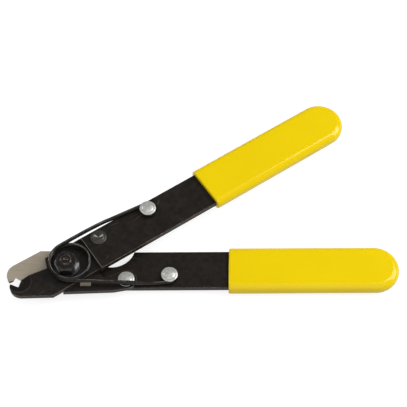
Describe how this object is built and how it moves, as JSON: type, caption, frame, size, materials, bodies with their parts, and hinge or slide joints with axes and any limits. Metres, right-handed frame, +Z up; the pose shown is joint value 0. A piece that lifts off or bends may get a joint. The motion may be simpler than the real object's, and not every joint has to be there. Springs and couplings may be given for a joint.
{
  "type": "fibre stripper",
  "caption": "Hand-held fibre stripper: flat black steel handles crossing at a pivot, V-notched riveted blades, a torsion spring and yellow dipped grips.",
  "frame": {"origin": "on the pivot screw's axis, at the flat outer face of its head, which lies on the surface the tool rests on", "axes": "+X along the lower handle towards its grip, +Z up along the pivot screw towards the nut, +Y towards the upper handle"},
  "size_m": [0.1296, 0.0749, 0.0114],
  "materials": {
    "black_steel": "black oxide on rolled steel, satin, with worn brown edges",
    "dark_blade": "black oxide on hardened steel, satin",
    "ground_steel": "flat-ground mating face, black oxide elsewhere",
    "yellow_vinyl": "glossy dipped vinyl",
    "bright_rivet": "satin zinc-plated steel",
    "dark_rivet": "blackened steel with bright wear",
    "dark_fastener": "black oxide with bright corners",
    "spring_wire": "black music wire"
  },
  "bodies": {
    "lower_handle": {"lower_bar": "black_steel", "lower_blade": "ground_steel", "lower_grip": "yellow_vinyl", "lower_front_rivet": "bright_rivet", "lower_post_rivet": "bright_rivet", "pivot_screw": "dark_fastener", "pivot_washer": "dark_fastener", "pivot_nut": "dark_fastener", "torsion_spring": "spring_wire"},
    "upper_handle": {"upper_bar": "black_steel", "upper_blade": "dark_blade", "upper_grip": "yellow_vinyl", "upper_front_rivet": "dark_rivet", "upper_post_rivet": "bright_rivet"}
  },
  "joints": [
    {"name": "handle_pivot", "type": "hinge", "parent": "lower_handle", "child": "upper_handle", "pos_m": [0, 0, 0], "axis": [0, 0, -1], "range_deg": [0, 12], "stiffness_Nm_per_rad": 1, "springref_deg": -20.05, "deforming": ["torsion_spring"]}
  ]
}
